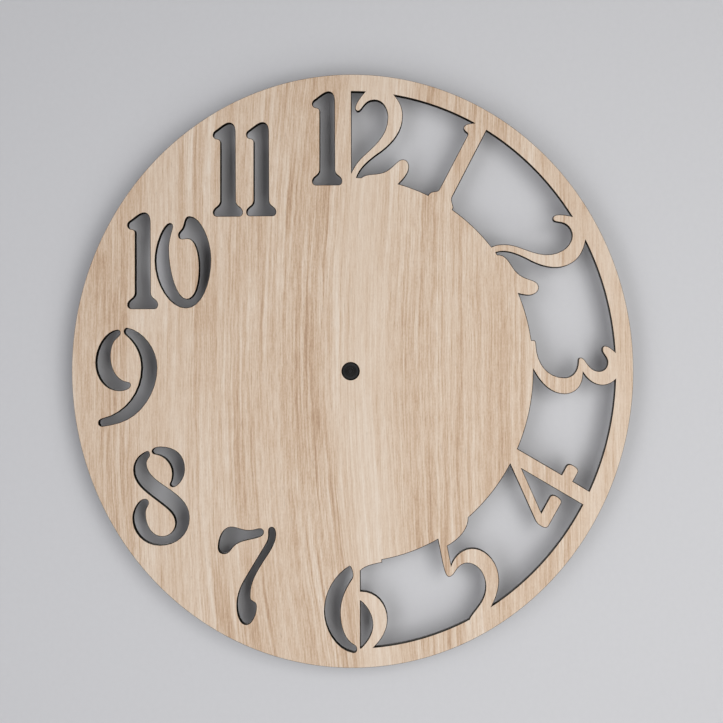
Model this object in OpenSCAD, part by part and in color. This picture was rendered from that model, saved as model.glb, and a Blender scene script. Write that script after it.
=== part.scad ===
// Wall clock with a laser-cut wooden dial and a quartz movement behind it.
// Millimetres. Z up, X right, the front faces -Y. The origin is on the arbor axis, in the wall plane.

/* [Dial] */
// width of the wooden board
dial_w = 284; // [200:1:400]
// height of the wooden board
dial_h = 300; // [200:1:400]
// thickness of the board
dial_t = 4; // [3:0.5:6]
// hole for the threaded boss
hole_d = 8.7; // [8.3:0.1:12]

/* [Dial art, on a 300 mm circle] */
// outer radius of the numeral band
ring_in = 140.65; // [138:0.05:143]
// radius of the centre disc
disc_r = 97.35; // [96:0.05:99]
// the band's centre above the arbor
band_up = 0.65; // [0:0.05:1]
// straight pieces in each curve of a digit
curve_steps = 8; // [4:1:16]

/* [Movement] */
// case width and height
case_w = 56; // [56:0.5:60]
// corner radius of the case
case_r = 3; // [2:0.5:5]
// foam pad between case and board
pad_t = 1; // [0.5:0.5:2]
// how far the hour tube stands out of the board
hour_out = 2.6; // [1.5:0.1:6]
// how far the minute post stands out of the hour tube
minute_out = 2.4; // [1.5:0.1:4]
// how far the seconds post stands out of the minute post
seconds_out = 2; // [1:0.1:4]
// radial play of a pivot in its hole
play = 0.05; // [0.02:0.01:0.08]

/* [AA cell] */
// diameter over the sleeve
cell_d = 14.1; // [13.6:0.1:14.2]
// length with the positive nub
cell_l = 50.5; // [50:0.1:50.5]

/* [Wall hanger] */
// width of the hanger strip
hanger_w = 22; // [18:1:26]
// nail hole
nail_d = 5; // [4:0.5:6]
// height of the nail hole above the arbor axis
nail_up = 38; // [36:0.5:40]

/* [Hidden] */
$fn = 48;
eps = 0.01;
// the art is drawn on a 300 mm circle and squeezed to the board
kx = dial_w / 300;
ky = dial_h / 300;
// straight ends of the band at 12 and at 6
edge_12 = 0.43;
edge_6 = 5.27;
// heights from the wall: case lid, case front, board
lid_t = 1.2;
case_d = 16;
front_t = 1.4;
wall_t = 1.2;
front_in = case_d - front_t;
board_z = case_d + pad_t;
face_z = board_z + dial_t;
boss_z = face_z - 1;
hour_z = face_z + hour_out;
minute_z = hour_z + minute_out;
seconds_z = minute_z + seconds_out;
room = case_w / 2 - wall_t;
bay_top = -11.1;
bay_wall = 1;
plate_z = 8.6;
plate_t = 1;
// gears: modules and teeth
m_motor = 0.25;
m_seconds = 0.28;
m_third = 0.3;
m_centre = 10.2 / 36;
m_minute = 0.3125;
m_hour = 0.3;
pivot_r = 0.3;
seconds_r = 0.5;
minute_r = 1.45;
shank_r = 1.1;
hour_r = 2.5;
boss_r = 4;
thread_pitch = 0.9;
thread_half = 0.36;
thread_turns = floor((boss_z - case_d - thread_half) / thread_pitch);
post_r = 0.7;
// each hand seats on a short end, narrower than its tube by seat_step and clear of the one below by seat_gap
seat_step = 0.2;
seat_gap = 0.4;
// where the axes stand, from the arbor axis
way_inter = 150;
way_rotor = 180;
way_third = 20;
way_minute = 100;
way_setting = 90;
a_inter = m_seconds * (60 + 15) / 2;
a_rotor = m_motor * (60 + 8) / 2;
a_third = m_third * (8 + 60) / 2;
a_minute = m_minute * (12 + 36) / 2;
a_setting = m_minute * (36 + 16) / 2;
at_inter = a_inter * [cos(way_inter), sin(way_inter)];
at_rotor = at_inter + a_rotor * [cos(way_rotor), sin(way_rotor)];
at_third = a_third * [cos(way_third), sin(way_third)];
at_minute = a_minute * [cos(way_minute), sin(way_minute)];
at_setting = at_minute + a_setting * [cos(way_setting), sin(way_setting)];
// the first tooth of each wheel, so that all stand in mesh at rest
turn_minute = in_mesh(way_minute, 12, way_minute, 36);
turn_setting = in_mesh(turn_minute, 36, way_setting, 16);
// cell
cell_y = -19;
cell_z = 7.4;
nub_l = 1.5;
sleeve_t = 0.15;
strap_t = 0.3;
strap_z = 6.8;
strap_h = 1;
tail_x = 22.2;
// coil
coil_y = 19.1;
coil_z = 6.4;
core_x0 = -26;
core_x1 = -10.2;

// ---- curves of the digits ----
// a path is a start point, then lines [[end]] and cubic curves [[control], [control], [end]]
function bez(a, b, c, d, n) = [for (i = [1:n]) let(t = i / n, s = 1 - t)
  s * s * s * a + 3 * s * s * t * b + 3 * s * t * t * c + t * t * t * d];
function last(v) = v[len(v) - 1];
function trace(p) = [for (i = [1:len(p) - 1])
  each (len(p[i]) == 1 ? p[i] : bez(last(p[i - 1]), p[i][0], p[i][1], p[i][2], curve_steps))];
// sized and shifted, turned clockwise about the centre, then squeezed to the board
function place(pts, size, turn, dx, dy) = [for (p = pts) let(x = size * p[0] + dx, y = size * p[1] + dy)
  [kx * (x * cos(turn) + y * sin(turn)), ky * (y * cos(turn) - x * sin(turn))]];
module digit(p, size = 1, turn = 0, dx = 0, dy = 0) {
  polygon(place(trace(p), size, turn, dx, dy));
}

function cut_1() = [
  [[-3.9, 8.0]],
  [[-3.9, 6.6], [-4.6, 5.6], [-5.6, 4.8]],
  [[-7.0, 3.8], [-7.8, 3.0], [-7.8, 1.9]],
  [[-7.8, 0.7], [-7.0, 0.0], [-5.8, 0.0]],
  [[5.9, 0.0]],
  [[7.0, 0.0], [7.7, 0.8], [7.7, 1.9]],
  [[7.7, 3.1], [6.8, 4.0], [5.4, 4.9]],
  [[4.4, 5.7], [3.9, 6.7], [3.9, 8.0]],
  [[3.75, 42.5]],
  [[3.7, 45.2], [2.6, 47.0], [0.6, 47.0]],
  [[-1.6, 47.0], [-4.4, 44.4], [-6.6, 43.0]],
  [[-7.4, 42.5], [-7.85, 41.9], [-7.85, 41.0]],
  [[-7.85, 39.9], [-7.0, 39.2], [-5.9, 39.1]],
  [[-4.8, 39.0], [-3.9, 38.4], [-3.9, 37.2]],
  [[-3.9, 8.0]]
];
function cut_0() = [
  [[-97.1, 74.6]],
  [[-96.3, 74.6], [-95.7, 74.0], [-95.7, 73.2]],
  [[-95.9, 71.2], [-97.95, 66.6], [-97.95, 61.8]],
  [[-97.95, 50.5], [-93.6, 36.2], [-88.2, 36.2]],
  [[-83.6, 36.2], [-81.3, 43.4], [-81.3, 52.0]],
  [[-81.3, 59.8], [-83.4, 67.15], [-87.6, 67.15]],
  [[-88.6, 67.15], [-89.8, 66.8], [-90.6, 66.9]],
  [[-91.7, 66.9], [-92.35, 67.6], [-92.35, 68.8]],
  [[-92.35, 70.2], [-91.0, 70.8], [-90.2, 72.1]],
  [[-88.8, 74.6], [-89.3, 78.0], [-86.5, 78.0]],
  [[-81.0, 78.0], [-75.25, 66.4], [-75.25, 56.5]],
  [[-75.25, 43.5], [-80.6, 32.0], [-88.4, 32.0]],
  [[-97.0, 32.0], [-105.0, 44.0], [-105.0, 56.0]],
  [[-105.0, 64.0], [-100.4, 74.6], [-97.1, 74.6]]
];
function cut_9a() = [
  [[-125.0, 20.6]],
  [[-124.2, 20.6], [-123.7, 19.9], [-123.7, 19.1]],
  [[-123.7, 17.6], [-126.6, 16.4], [-127.6, 14.3]],
  [[-128.6, 12.2], [-129.1, 9.9], [-129.1, 7.4]],
  [[-129.1, 1.0], [-125.6, -4.5], [-121.0, -5.6]],
  [[-119.6, -5.9], [-118.2, -5.9], [-118.2, -7.0]],
  [[-118.2, -9.0], [-121.4, -9.9], [-124.2, -9.9]],
  [[-131.4, -9.9], [-136.7, -3.6], [-136.7, 4.2]],
  [[-136.7, 12.0], [-131.2, 20.2], [-125.0, 20.6]]
];
function cut_9b() = [
  [[-119.8, 21.5]],
  [[-111.4, 20.0], [-104.0, 11.0], [-104.0, 1.6]],
  [[-104.0, -10.8], [-112.6, -23.0], [-124.2, -26.1]],
  [[-127.4, -27.0], [-130.6, -27.6], [-133.4, -27.9]],
  [[-134.6, -27.9], [-135.2, -27.2], [-135.2, -26.2]],
  [[-135.2, -25.1], [-134.2, -24.4], [-133.0, -24.2]],
  [[-121.0, -21.6], [-112.1, -11.0], [-112.1, 1.6]],
  [[-112.1, 8.6], [-115.4, 14.4], [-120.6, 18.4]],
  [[-122.2, 19.6], [-121.2, 21.7], [-119.8, 21.5]]
];
function cut_8a() = [
  [[-106.5, -40.6]],
  [[-106.5, -39.3], [-104.2, -38.6], [-102.0, -38.6]],
  [[-94.2, -38.6], [-89.3, -42.6], [-89.3, -49.6]],
  [[-89.3, -54.2], [-92.6, -58.1], [-95.2, -58.5]],
  [[-96.8, -58.6], [-97.4, -57.3], [-96.4, -56.3]],
  [[-95.9, -55.2], [-95.6, -53.4], [-95.6, -52.0]],
  [[-95.6, -47.4], [-99.4, -42.8], [-104.4, -42.1]],
  [[-105.8, -42.0], [-106.5, -41.5], [-106.5, -40.6]]
];
function cut_8b() = [
  [[-109.2, -40.8]],
  [[-108.5, -40.7], [-108.0, -41.6], [-108.0, -42.5]],
  [[-108.0, -43.6], [-109.85, -44.6], [-109.85, -46.8]],
  [[-109.85, -50.8], [-106.4, -54.2], [-102.0, -57.0]],
  [[-94.2, -62.0], [-86.7, -66.2], [-86.7, -74.2]],
  [[-86.7, -82.6], [-93.6, -88.1], [-102.4, -88.1]],
  [[-111.4, -88.1], [-116.9, -81.4], [-116.9, -74.6]],
  [[-116.9, -70.2], [-113.6, -65.0], [-110.4, -65.0]],
  [[-109.4, -65.0], [-108.6, -65.9], [-108.6, -66.8]],
  [[-108.6, -68.0], [-110.35, -69.4], [-110.35, -71.8]],
  [[-110.35, -78.8], [-106.4, -83.9], [-101.2, -83.9]],
  [[-97.2, -83.9], [-93.9, -80.9], [-93.9, -77.0]],
  [[-93.9, -71.6], [-99.6, -68.6], [-105.1, -64.5]],
  [[-110.6, -60.6], [-116.4, -56.6], [-116.4, -50.2]],
  [[-116.4, -45.4], [-113.2, -42.2], [-109.2, -40.8]]
];
function cut_7a() = [
  [[-64.4, -79.1]],
  [[-61.0, -79.1], [-59.0, -80.8], [-54.8, -80.8]],
  [[-52.0, -80.8], [-50.6, -79.9], [-48.8, -79.9]],
  [[-47.8, -79.9], [-47.1, -80.6], [-47.1, -81.6]],
  [[-47.1, -83.6], [-50.8, -84.3], [-53.6, -84.9]],
  [[-58.4, -85.9], [-61.4, -86.6], [-63.6, -89.2]],
  [[-65.0, -90.8], [-65.8, -92.4], [-68.2, -92.4]],
  [[-70.2, -92.4], [-71.15, -91.2], [-71.15, -89.2]],
  [[-71.15, -85.2], [-69.0, -79.3], [-64.4, -79.1]]
];
function cut_7b() = [
  [[-42.6, -79.2]],
  [[-41.2, -79.2], [-40.6, -80.8], [-40.6, -82.8]],
  [[-40.6, -87.4], [-44.6, -92.4], [-46.8, -95.6]],
  [[-51.2, -102.0], [-54.3, -107.2], [-54.3, -113.0]],
  [[-54.3, -115.0], [-54.3, -115.6], [-53.7, -116.0]],
  [[-51.8, -117.4], [-50.9, -117.0], [-50.9, -119.4]],
  [[-50.9, -123.2], [-53.4, -128.3], [-56.2, -128.3]],
  [[-59.4, -128.3], [-61.2, -123.8], [-61.2, -118.6]],
  [[-61.2, -112.8], [-58.6, -108.0], [-56.4, -104.6]],
  [[-46.0, -88.2]],
  [[-44.6, -86.0], [-44.1, -84.6], [-44.2, -82.4]],
  [[-44.3, -80.4], [-44.0, -79.2], [-42.6, -79.2]]
];
function cut_6() = [
  [[-1.0, -98.8]],
  [[-0.2, -98.8], [0.75, -101.6], [0.75, -103.4]],
  [[0.75, -105.0], [-0.3, -105.8], [-1.2, -107.4]],
  [[-4.0, -111.6], [-6.1, -116.6], [-6.1, -122.2]],
  [[-6.1, -129.8], [-3.4, -136.4], [1.4, -138.7]],
  [[2.4, -139.2], [2.75, -139.8], [2.75, -140.8]],
  [[2.75, -141.8], [2.2, -142.4], [1.0, -142.4]],
  [[-8.2, -141.0], [-14.4, -130.4], [-14.4, -121.6]],
  [[-14.4, -112.0], [-8.6, -103.0], [-1.0, -98.8]]
];
function stand_1() = [
  [[-3.0, 146.0]],
  [[-3.4, 143.0], [-5.0, 142.1], [-5.9, 141.5]],
  [[-7.6, 140.4], [-9.8, 138.9], [-9.8, 137.2]],
  [[-9.8, 136.0], [-8.4, 135.5], [-7.1, 135.4]],
  [[-6.2, 135.3], [-5.9, 134.9], [-5.9, 134.0]],
  [[-5.3, 104.0]],
  [[-5.3, 102.2], [-5.6, 102.0], [-6.4, 101.4]],
  [[-8.6, 99.9], [-9.0, 99.0], [-9.0, 97.3]],
  [[-9.0, 93.0]],
  [[6.0, 93.0]],
  [[6.0, 98.8]],
  [[4.0, 101.0], [2.65, 101.6], [2.65, 103.4]],
  [[1.7, 141.9]],
  [[1.7, 146.0]],
  [[-3.0, 146.0]]
];
function stand_2() = [
  [[-5.0, 145.0]],
  [[-8.6, 141.6]],
  [[-10.8, 139.3], [-13.9, 135.4], [-13.9, 133.4]],
  [[-13.9, 132.4], [-13.2, 131.7], [-12.2, 131.7]],
  [[-10.0, 131.7], [-9.2, 137.3], [-3.6, 137.3]],
  [[1.2, 137.3], [3.6, 132.6], [3.6, 128.6]],
  [[3.6, 118.6], [-4.8, 113.4], [-10.4, 108.2]],
  [[-14.6, 104.2], [-17.0, 99.4], [-17.1, 95.8]],
  [[-17.1, 92.0]],
  [[-13.0, 92.0]],
  [[-13.3, 97.2]],
  [[-11.9, 103.0], [-5.8, 107.4], [0.4, 111.4]],
  [[6.6, 115.9], [11.7, 121.6], [11.7, 129.4]],
  [[11.7, 134.0], [9.4, 138.0], [5.3, 141.6]],
  [[2.0, 145.0]],
  [[-5.0, 145.0]]
];
function foot_2() = [
  [[-12.3, 92.0]],
  [[-12.3, 96.4]],
  [[-10.6, 100.6], [-7.0, 100.7], [-2.6, 101.0]],
  [[3.6, 101.4], [5.6, 104.2], [8.6, 106.7]],
  [[9.8, 107.7], [10.8, 108.3], [12.0, 108.3]],
  [[13.9, 108.3], [15.2, 106.6], [15.2, 104.6]],
  [[15.2, 101.4], [12.6, 98.8], [9.4, 95.6]],
  [[9.0, 92.0]],
  [[-12.3, 92.0]]
];
function stand_3() = [
  [[-5.0, 145.0]],
  [[-9.4, 141.4]],
  [[-11.2, 139.4], [-12.8, 137.2], [-12.8, 135.6]],
  [[-12.8, 134.6], [-12.0, 134.1], [-10.9, 134.1]],
  [[-8.6, 134.1], [-7.4, 137.0], [-4.4, 137.0]],
  [[-1.6, 137.0], [0.1, 134.8], [0.1, 132.4]],
  [[0.1, 128.8], [-3.0, 126.6], [-5.4, 124.9]],
  [[-6.4, 124.1], [-6.8, 123.4], [-6.8, 122.6]],
  [[-6.8, 121.6], [-6.0, 121.4], [-4.8, 121.35]],
  [[0.6, 121.1], [3.35, 118.0], [3.35, 113.9]],
  [[3.35, 104.6], [-4.2, 99.3], [-12.8, 98.8]],
  [[-14.6, 98.7], [-15.6, 98.6], [-15.7, 97.4]],
  [[-15.7, 93.0]],
  [[-1.0, 93.0]],
  [[-0.8, 97.3]],
  [[6.6, 101.4], [11.75, 107.0], [11.75, 114.0]],
  [[11.75, 119.6], [7.8, 124.0], [0.9, 123.9]],
  [[4.8, 126.6], [7.25, 130.2], [7.25, 134.2]],
  [[7.25, 136.8], [6.2, 139.2], [4.3, 141.3]],
  [[3.0, 145.0]],
  [[-5.0, 145.0]]
];
function stand_4() = [
  [[2.6, -103.8]],
  [[3.26, -144.0]],
  [[10.95, -144.0]],
  [[10.9, -130.5]],
  [[16.0, -130.5]],
  [[17.4, -130.5], [18.0, -129.0], [18.0, -127.0]],
  [[18.0, -125.0], [17.4, -123.6], [15.6, -123.6]],
  [[10.85, -123.6]],
  [[10.3, -93.0]],
  [[4.0, -93.0]],
  [[1.5, -97.2]],
  [[-16.2, -122.8]],
  [[-17.0, -124.0], [-17.4, -125.0], [-17.4, -126.6]],
  [[-17.4, -129.4], [-16.8, -130.6], [-14.8, -130.6]],
  [[-2.0, -130.6]],
  [[-0.6, -130.6], [0.0, -129.2], [0.0, -127.2]],
  [[0.0, -125.2], [-0.6, -123.8], [-2.4, -123.8]],
  [[-11.3, -123.8]],
  [[2.6, -103.8]]
];
function stand_5() = [
  [[-2.6, -96.8]],
  [[-6.4, -108.4]],
  [[-7.2, -111.4], [-7.7, -113.0], [-7.7, -114.4]],
  [[-7.7, -116.0], [-7.0, -116.7], [-5.6, -116.7]],
  [[-3.0, -116.6], [-1.6, -114.4], [2.0, -114.4]],
  [[6.4, -114.4], [9.45, -119.0], [9.45, -123.4]],
  [[9.45, -129.8], [5.4, -134.6], [0.0, -136.7]],
  [[-3.0, -138.1], [-6.6, -139.0], [-8.2, -140.3]],
  [[-8.2, -144.0]],
  [[2.0, -144.0]],
  [[5.2, -140.6]],
  [[12.0, -137.0], [17.8, -130.4], [17.8, -122.8]],
  [[17.8, -115.2], [13.0, -108.55], [5.8, -108.55]],
  [[2.4, -108.55], [-0.8, -109.9], [-3.0, -111.8]],
  [[0.2, -102.4]],
  [[7.4, -102.6], [14.6, -100.6], [17.4, -95.0]],
  [[17.0, -92.0]],
  [[-2.6, -92.0]],
  [[-2.6, -96.8]]
];
function bowl_6() = [
  [[2.0, -111.4]],
  [[4.9, -111.4]],
  [[13.4, -111.2], [19.35, -118.0], [19.35, -125.6]],
  [[19.35, -130.8], [16.6, -135.6], [12.1, -139.8]],
  [[10.0, -144.0]],
  [[2.0, -144.0]],
  [[4.85, -140.4]],
  [[9.0, -136.8], [11.35, -132.6], [11.35, -128.4]],
  [[11.35, -123.6], [8.4, -119.0], [4.85, -116.4]],
  [[2.0, -116.4]],
  [[2.0, -111.4]]
];
function top_6() = [
  [[2.0, -92.0]],
  [[2.0, -102.0]],
  [[4.85, -101.1]],
  [[7.6, -98.4], [12.0, -97.8], [16.35, -96.9]],
  [[16.45, -92.0]],
  [[2.0, -92.0]]
];

// ---- dial ----
function arc_pts(r, a0, a1, n) = [for (i = [0:n]) let(a = a0 + (a1 - a0) * i / n)
  [kx * r * cos(a), ky * (r * sin(a) + band_up)]];
// the open half ring on the right
module band() {
  polygon(concat(
    arc_pts(ring_in, acos(edge_12 / ring_in), -acos(edge_6 / ring_in), 150),
    arc_pts(disc_r, -acos(edge_6 / disc_r), acos(edge_12 / disc_r), 120)));
}
// less the digits that stand in it
module windows() {
  difference() {
    band();
    digit(stand_2(), 0.9975, 0, 16.2, 0.0);
    digit(foot_2(), 0.9967, 0, 16.0, -0.98);
    digit(stand_1(), 0.9938, 30, 0.34, 0.59);
    digit(stand_2(), 0.9904, 60, 0.14, 0.9);
    digit(foot_2(), 0.9935, 60, 0.16, 0.58);
    digit(stand_3(), 0.9893, 90, -0.11, 0.96);
    digit(stand_4(), 0.9918, -60, 0.34, -0.61);
    digit(stand_5(), 0.9942, -30, 0.46, -0.35);
    digit(bowl_6(), 0.998, 0, 0.44, 0.06);
    digit(top_6(), 0.999, 0, 0.43, 0.14);
  }
}
// the digits cut out on the left
module cut_digits() {
  digit(cut_1(), 1, 0, -12.51, 94.25);
  digit(cut_1(), 1.0027, 0, -65.75, 78.65);
  digit(cut_1(), 1.0018, 0, -47.86, 78.79);
  digit(cut_1(), 1.0331, 0, -111.67, 31.82);
  digit(cut_0(), 1.0045, 0, 0.48, 0.02);
  digit(cut_9a(), 1.0061, 0, 0.49, 0.10);
  digit(cut_9b(), 1.0062, 0, 0.53, 0.11);
  digit(cut_8a(), 1.0049, 0, 0.50, 0.17);
  digit(cut_8b(), 1.0047, 0, 0.44, 0.15);
  digit(cut_7a(), 1.0053, 0, 0.60, 0.41);
  digit(cut_7b(), 1.0030, 0, 0.48, 0.28);
  digit(cut_6(), 0.9988, 0, 0.42, 0.08);
}
module dial_panel() color([0.82, 0.73, 0.62]) from_wall() {
  translate([0, 0, board_z]) linear_extrude(dial_t) {
    difference() {
      polygon([for (i = [0:239]) [dial_w / 2 * cos(i * 1.5), dial_h / 2 * sin(i * 1.5)]]);
      circle(d = hole_d);
      windows();
      cut_digits();
    }
  }
}

// ---- helpers ----
// inside: x right, y up, z from the wall to the viewer
module from_wall() {
  rotate([90, 0, 0]) children();
}
module rounded(w, h, r) {
  square([w - 2 * r, h], center = true);
  square([w, h - 2 * r], center = true);
  for (x = [-1, 1], y = [-1, 1]) {
    translate([x * (w / 2 - r), y * (h / 2 - r)]) circle(r);
  }
}
module slab(x0, x1, y0, y1, z0, z1) {
  translate([x0, y0, z0]) cube([x1 - x0, y1 - y0, z1 - z0]);
}
module rod(r, z0, z1) {
  translate([0, 0, z0]) cylinder(r = r, h = z1 - z0);
}
// involute teeth, thinned for play; the first tooth points at the angle turn
thin = 0.02;
press = 20;
function roll(a) = tan(a) * 180 / PI - a;
function half_tooth(teeth, rp, r) = let(rb = rp * cos(press))
  90 / teeth - thin / rp * 180 / PI + roll(press) - roll(acos(min(1, rb / r)));
function in_mesh(turn, teeth, way, other) =
  way + 180 + 180 / other - (turn - way) * teeth / other;
function flank_r(rp, m, top, steps) = [for (i = [0:steps]) rp - 1.2 * m + (1.2 + top) * m * i / steps];
function gear_pts(m, teeth, turn, top, steps) = let(rp = m * teeth / 2, rr = flank_r(rp, m, top, steps))
  [for (i = [0:teeth - 1]) let(a = turn + 360 * i / teeth) each concat(
    [for (r = rr) let(b = a - half_tooth(teeth, rp, r)) [r * cos(b), r * sin(b)]],
    [for (j = [0:steps]) let(r = rr[steps - j], b = a + half_tooth(teeth, rp, r)) [r * cos(b), r * sin(b)]]
  )];
module wheel(m, teeth, turn, z0, z1, windows = 0, window_r = 0, window_at = 0) {
  translate([0, 0, z0]) linear_extrude(z1 - z0) difference() {
    polygon(gear_pts(m, teeth, turn, 0.8, 1));
    if (windows > 0) {
      for (i = [0:windows - 1]) {
        rotate(i * 360 / windows) translate([window_at, 0]) circle(window_r, $fn = 24);
      }
    }
  }
}
module pinion(m, teeth, turn, z0, z1) {
  translate([0, 0, z0]) linear_extrude(z1 - z0) polygon(gear_pts(m, teeth, turn, 0.9, 3));
}
module on(p) {
  translate([p[0], p[1], 0]) children();
}
posts = [[-23.6, -7], [23.6, 15.5], [-23.6, 24.2], [23.6, 24.2]];

// ---- case ----
module foam_pad() color([0.16, 0.16, 0.17]) from_wall() {
  translate([0, 0, case_d]) linear_extrude(pad_t) difference() {
    rounded(case_w - 2, case_w - 2, case_r);
    circle(r = 6.5);
  }
}
module case_front() color([0.06, 0.06, 0.065]) from_wall() {
  difference() {
    union() {
      // front wall and side walls, full depth round the cell, cut back for the lid above it
      difference() {
        linear_extrude(case_d) rounded(case_w, case_w, case_r);
        translate([0, 0, -eps]) linear_extrude(front_in + eps) difference() {
          rounded(2 * room, 2 * room, case_r - wall_t);
          translate([-room, bay_top]) square([2 * room, bay_wall]);
        }
        slab(-case_w, case_w, bay_top, case_w, -eps, lid_t);
      }
      // threaded boss
      rod(boss_r, case_d - eps, boss_z);
      // posts for the middle plate, with pins through it
      for (p = posts) {
        on(p) rod(1.5, plate_z + plate_t, front_in + eps);
        on(p) rod(0.7, plate_z - 0.3, plate_z + plate_t + eps);
      }
      // bosses that the hanger's foot is staked to
      for (x = [-7, 7]) {
        translate([x, case_w / 2 - eps, 7]) rotate([-90, 0, 0]) cylinder(r = 1.2, h = 1 + 2 * eps);
        translate([x, case_w / 2 + 1, 7]) rotate([-90, 0, 0]) cylinder(r = 2, h = 0.6);
      }
    }
    // bore for the hour tube, opened towards the gears
    rod(hour_r + seat_step + play, front_in - 1, boss_z + 1);
    // thread, drawn as rings
    for (i = [1:thread_turns]) {
      translate([0, 0, boss_z - thread_pitch * i]) rotate_extrude() {
        polygon([[boss_r + 0.1, -thread_half], [boss_r + 0.1, thread_half], [boss_r - 0.32, 0]]);
      }
    }
    // slots for the straps
    for (x = [[tail_x - 0.2, tail_x + strap_t + 0.2], [room - strap_t - 0.2, room]]) {
      slab(x[0], x[1], bay_top - eps, bay_top + bay_wall + eps, -1, strap_z + strap_h + 0.2);
    }
    // finger notch for the cell
    translate([0, -case_w / 2, -4]) rotate([-90, 0, 0]) translate([0, 0, -1]) cylinder(r = 9, h = wall_t + 2);
  }
}
module case_back() color([0.07, 0.07, 0.075]) from_wall() {
  difference() {
    union() {
      difference() {
        linear_extrude(lid_t) rounded(case_w, case_w, case_r);
        slab(-case_w, case_w, -case_w, bay_top, -1, lid_t + 1);
      }
      // bearings of the train
      on([0, 0]) rod(1.3, lid_t - eps, 1.8);
      on(at_inter) rod(1.1, lid_t - eps, 1.7);
      on(at_rotor) rod(1.1, lid_t - eps, 2.4);
      on(at_third) rod(1.1, lid_t - eps, 3.4);
      // ribs that locate the lid inside the walls
      slab(-room + 0.1, -room + 1, 12, 22, lid_t - eps, 3);
      slab(room - 1, room - 0.1, 12, 22, lid_t - eps, 3);
      slab(-12, -6, room - 1, room - 0.1, lid_t - eps, 3);
      slab(6, 12, room - 1, room - 0.1, lid_t - eps, 3);
    }
    on([0, 0]) rod(seconds_r + play, 0.6, 4);
    on(at_inter) rod(pivot_r + play, 0.6, 4);
    on(at_rotor) rod(pivot_r + play, 0.6, 4);
    on(at_third) rod(pivot_r + play, 0.6, 4);
    // opening for the setting knob, with a shallow dish round it
    on(at_setting) rod(5, -1, lid_t + 1);
    on(at_setting) translate([0, 0, -0.4]) cylinder(r1 = 7, r2 = 5.4, h = 1);
    // sound holes
    for (i = [0:4]) {
      slab(12, 23, 17.4 + 1.6 * i, 18.2 + 1.6 * i, -1, lid_t + 1);
    }
  }
}
module middle_plate() color([0.86, 0.86, 0.84]) from_wall() {
  difference() {
    union() {
      translate([0, 0, plate_z]) linear_extrude(plate_t) translate([0, (room + bay_top + bay_wall) / 2]) {
        rounded(2 * room - 0.4, room - bay_top - bay_wall - 0.4, 1.4);
      }
      // post of the minute wheel
      on(at_minute) rod(post_r, plate_z + plate_t - eps, 13.6);
      // studs that the circuit board is staked to
      for (y = [-5.5, 7]) {
        translate([23.4, y, 0]) rod(0.6, 7.6, plate_z + eps);
      }
    }
    rod(minute_r + play, 0, 20);
    for (p = [at_inter, at_rotor, at_third]) {
      on(p) rod(pivot_r + play, 0, 20);
    }
    on(at_setting) rod(0.8 + play, 0, 20);
    for (p = posts) {
      on(p) rod(0.75, 0, 20);
    }
  }
}
module wall_hanger() color([0.62, 0.63, 0.64]) from_wall() {
  // upright strip against the wall, narrower towards the nail
  difference() {
    linear_extrude(1) {
      polygon([
        [-hanger_w / 2, case_w / 2], [hanger_w / 2, case_w / 2], [hanger_w / 2, case_w / 2 + 3],
        [7, nail_up + 2], [-7, nail_up + 2], [-hanger_w / 2, case_w / 2 + 3]]);
      translate([0, nail_up + 2 - 1]) rounded(14, 8, 3);
    }
    translate([0, nail_up, 0]) rod(nail_d / 2, -1, 2);
  }
  // foot on top of the case
  difference() {
    slab(-hanger_w / 2, hanger_w / 2, case_w / 2, case_w / 2 + 1, 0, 11);
    for (x = [-7, 7]) {
      translate([x, case_w / 2 - 1, 7]) rotate([-90, 0, 0]) cylinder(r = 1.2, h = 3);
    }
  }
}

// ---- cell and contacts ----
module along_x(x0, x1, r) {
  translate([x0, cell_y, cell_z]) rotate([0, 90, 0]) cylinder(r = r, h = x1 - x0);
}
cell_x0 = -cell_l / 2;
cell_x1 = cell_l / 2;
cell_r = cell_d / 2 - sleeve_t;
module battery_cell() color([0.78, 0.79, 0.8]) from_wall() {
  along_x(cell_x0, cell_x1 - nub_l, cell_r);
  along_x(cell_x1 - nub_l - eps, cell_x1, 2.65);
}
module battery_sleeve() color([0.1, 0.22, 0.2]) from_wall() {
  difference() {
    along_x(cell_x0 + 0.4, cell_x1 - nub_l - 0.4, cell_d / 2);
    along_x(cell_x0 - 1, cell_x1 + 1, cell_r);
  }
}
module contact_positive() color([0.75, 0.73, 0.68]) from_wall() {
  difference() {
    union() {
      slab(room - strap_t, room, cell_y - 4, cell_y + 4, 2.4, 12.4);
      // dimple that meets the nub
      translate([cell_x1, cell_y, cell_z]) rotate([0, 90, 0]) {
        cylinder(r1 = 1.6, r2 = 2.8, h = room - cell_x1);
      }
      // tail through the bay wall to the circuit board
      slab(room - strap_t, room, cell_y + 4 - eps, -6, strap_z, strap_z + strap_h);
      slab(25, room - strap_t + eps, -6.3, -6, strap_z, strap_z + strap_h);
    }
    translate([cell_x1 + strap_t, cell_y, cell_z]) rotate([0, 90, 0]) {
      cylinder(r1 = 1.3, r2 = 2.5, h = room - cell_x1);
    }
  }
}
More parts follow.
